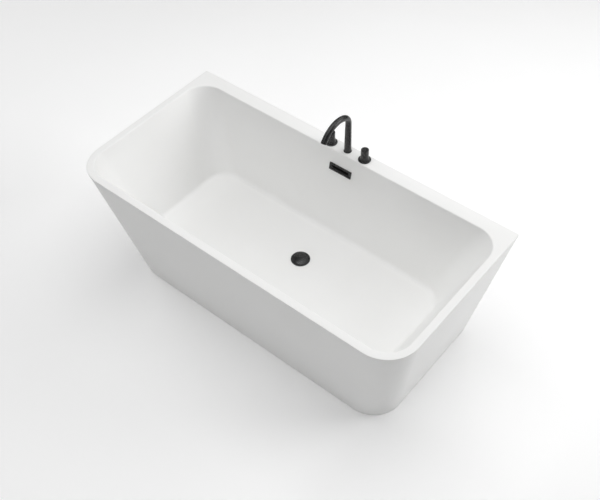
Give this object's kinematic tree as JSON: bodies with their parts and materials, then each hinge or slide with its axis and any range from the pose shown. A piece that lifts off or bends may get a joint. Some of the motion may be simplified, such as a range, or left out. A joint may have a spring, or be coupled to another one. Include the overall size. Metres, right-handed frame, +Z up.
{
  "type": "freestanding bathtub",
  "caption": "Back-to-wall freestanding bathtub with tapered walls, rounded front corners, a flat rear deck with a matt black spout and knobs, slot overflow and push-up waste.",
  "frame": {"origin": "on the floor, under the middle of the rim rectangle", "axes": "+X along the tub, +Y towards the wall side that carries the taps, +Z up"},
  "size_m": [1.499, 0.7442, 0.7809],
  "materials": {
    "white_acrylic": "satin gloss, white",
    "board": "plain board",
    "zinc_steel": "zinc plated",
    "grey_nylon": "moulded",
    "passivated_screws": "yellow passivated",
    "black_rubber": "moulded rubber",
    "black_plastic": "moulded",
    "grey_pipe": "moulded",
    "matte_black": "matt black powder coat",
    "aerator_plastic": "moulded",
    "brass": "machined",
    "copper": "drawn tube"
  },
  "bodies": {
    "tub": {"basin": "white_acrylic", "skirt": "white_acrylic", "floor_board": "board", "deck_board": "board", "frame_rail_front": "zinc_steel", "frame_rail_rear": "zinc_steel", "frame_crossbars": "zinc_steel", "frame_legs": "zinc_steel", "leg_inserts": "grey_nylon", "lock_nuts": "zinc_steel", "frame_screws": "passivated_screws", "drain_flange": "matte_black", "drain_seal_top": "black_rubber", "drain_seal_bottom": "black_rubber", "drain_body": "black_plastic", "drain_cartridge": "grey_nylon", "drain_spring": "zinc_steel", "overflow_plate": "matte_black", "overflow_seal": "black_rubber", "overflow_body": "black_plastic", "overflow_screws": "matte_black", "overflow_pipe": "grey_pipe", "overflow_pipe_nuts": "black_plastic", "spout_base_ring": "matte_black", "spout_gasket": "black_rubber", "spout_shank": "brass", "spout_o_rings": "black_rubber", "clamp_washers": "zinc_steel", "backnuts": "brass", "tee_piece": "brass", "link_pipes": "copper", "link_nuts": "brass", "hot_valve_body": "brass", "cold_valve_body": "brass", "valve_cartridges": "grey_nylon", "knob_flanges": "matte_black", "flange_gaskets": "black_rubber"},
    "spout_arm": {"spout": "matte_black", "aerator": "aerator_plastic"},
    "hot_handle": {"hot_knob": "matte_black", "hot_spindle": "brass", "hot_knob_screw": "zinc_steel"},
    "cold_handle": {"cold_knob": "matte_black", "cold_spindle": "brass", "cold_knob_screw": "zinc_steel"},
    "drain_plug": {"drain_cap": "matte_black", "drain_cap_seal": "black_rubber", "drain_stem": "brass"},
    "foot_front_left": {"foot_stem_front_left": "zinc_steel", "foot_pad_front_left": "black_plastic"},
    "foot_front_right": {"foot_stem_front_right": "zinc_steel", "foot_pad_front_right": "black_plastic"},
    "foot_rear_left": {"foot_stem_rear_left": "zinc_steel", "foot_pad_rear_left": "black_plastic"},
    "foot_rear_right": {"foot_stem_rear_right": "zinc_steel", "foot_pad_rear_right": "black_plastic"},
    "foot_middle": {"foot_stem_middle": "zinc_steel", "foot_pad_middle": "black_plastic"}
  },
  "joints": [
    {"name": "spout_swivel", "type": "hinge", "parent": "tub", "child": "spout_arm", "pos_m": [0.018, 0.342, 0.6], "axis": [0, 0, 1], "range_deg": [-60, 60]},
    {"name": "hot_knob_turn", "type": "hinge", "parent": "tub", "child": "hot_handle", "pos_m": [-0.062, 0.342, 0.57], "axis": [0, 0, 1], "range_deg": [0, 90]},
    {"name": "cold_knob_turn", "type": "hinge", "parent": "tub", "child": "cold_handle", "pos_m": [0.098, 0.342, 0.57], "axis": [0, 0, 1], "range_deg": [-90, 0]},
    {"name": "drain_plug_lift", "type": "slide", "parent": "tub", "child": "drain_plug", "axis": [0, 0, 1], "range_m": [0, 0.009], "deforming": ["drain_spring"]},
    {"name": "foot_front_left_height", "type": "slide", "parent": "tub", "child": "foot_front_left", "axis": [0, 0, 1], "range_m": [-0.02, 0]},
    {"name": "foot_front_right_height", "type": "slide", "parent": "tub", "child": "foot_front_right", "axis": [0, 0, 1], "range_m": [-0.02, 0]},
    {"name": "foot_rear_left_height", "type": "slide", "parent": "tub", "child": "foot_rear_left", "axis": [0, 0, 1], "range_m": [-0.02, 0]},
    {"name": "foot_rear_right_height", "type": "slide", "parent": "tub", "child": "foot_rear_right", "axis": [0, 0, 1], "range_m": [-0.02, 0]},
    {"name": "foot_middle_height", "type": "slide", "parent": "tub", "child": "foot_middle", "axis": [0, 0, 1], "range_m": [-0.02, 0]}
  ]
}
